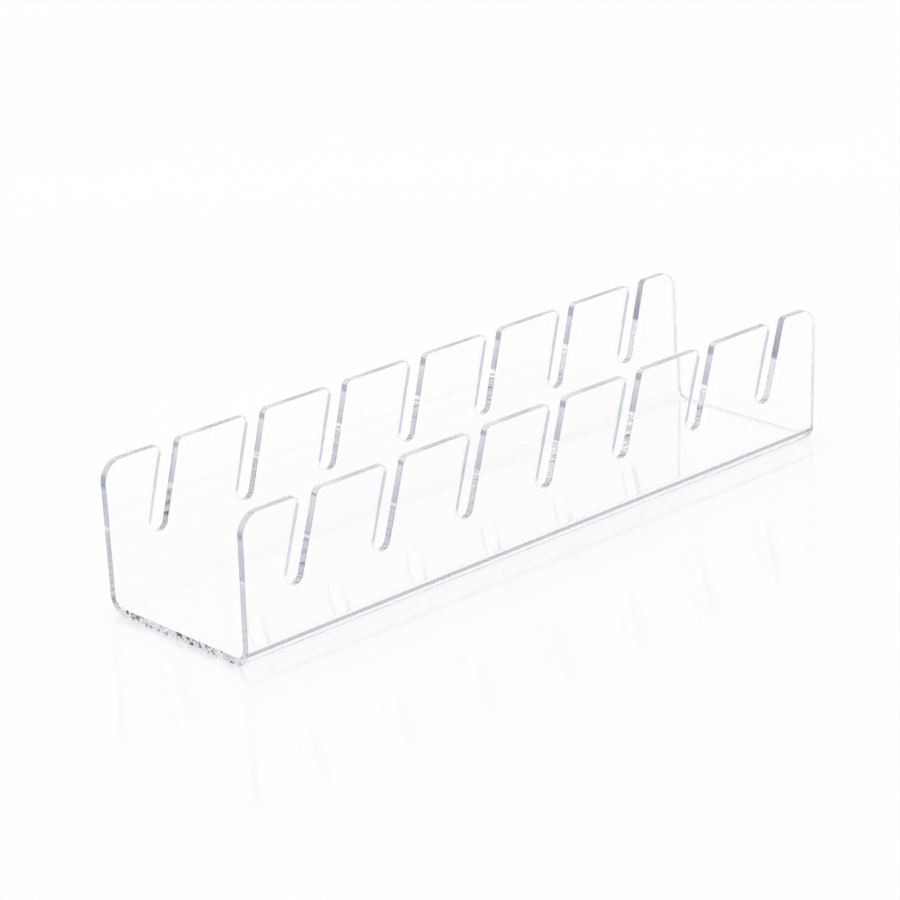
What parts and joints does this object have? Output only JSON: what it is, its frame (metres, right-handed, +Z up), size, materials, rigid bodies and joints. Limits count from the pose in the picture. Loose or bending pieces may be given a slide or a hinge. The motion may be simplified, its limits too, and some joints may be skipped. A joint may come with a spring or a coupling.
{
  "type": "slotted acrylic rack",
  "caption": "Clear acrylic channel rack with leaning, round-bottomed slots along both upright walls, for standing flat items on edge in a row.",
  "frame": {"origin": "on the surface that the rack stands on, under the middle of its length and width", "axes": "+X along the rack, the way the slots lean; +Y from the front wall to the rear wall; +Z up"},
  "size_m": [0.258, 0.0678, 0.0495],
  "materials": {
    "clear_acrylic": "clear cast acrylic sheet, polished faces and polished cut edges"
  },
  "bodies": {
    "root": {"base_panel": "clear_acrylic", "front_bend": "clear_acrylic", "rear_bend": "clear_acrylic", "front_wall": "clear_acrylic", "rear_wall": "clear_acrylic"}
  },
  "joints": []
}
